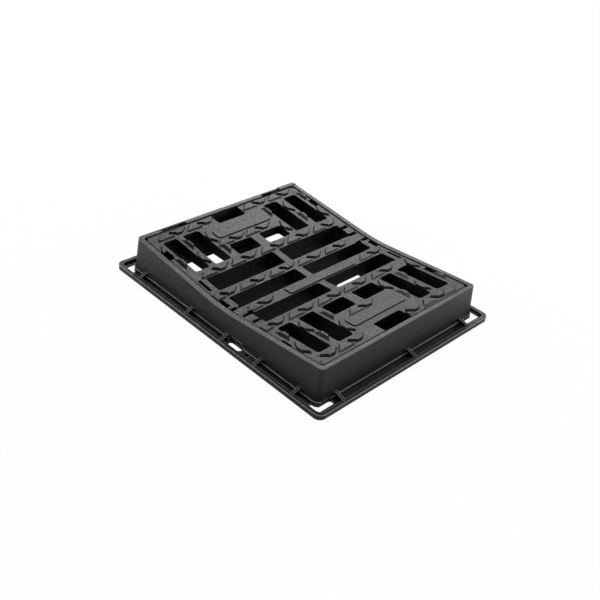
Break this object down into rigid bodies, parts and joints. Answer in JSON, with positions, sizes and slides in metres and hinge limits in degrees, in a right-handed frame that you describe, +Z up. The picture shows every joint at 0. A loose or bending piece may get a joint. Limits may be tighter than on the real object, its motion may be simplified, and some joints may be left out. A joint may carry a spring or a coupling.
{
  "type": "drain grate",
  "caption": "Dished cast iron gully grate with cross slots, lifting pockets and raised anti-slip chips, lying in its flanged frame.",
  "frame": {"origin": "middle of the frame's flat underside, on the ground plane", "axes": "+X along the long side, so the dish falls to a valley at x = 0; +Y along the short side; +Z up"},
  "size_m": [0.5, 0.42, 0.0674],
  "materials": {
    "frame": "black bitumen paint, satin, on a fine sand-cast skin",
    "grate": "black bitumen paint, satin, on a fine sand-cast skin"
  },
  "bodies": {
    "root": {"frame": "frame", "grate": "grate"}
  },
  "joints": []
}
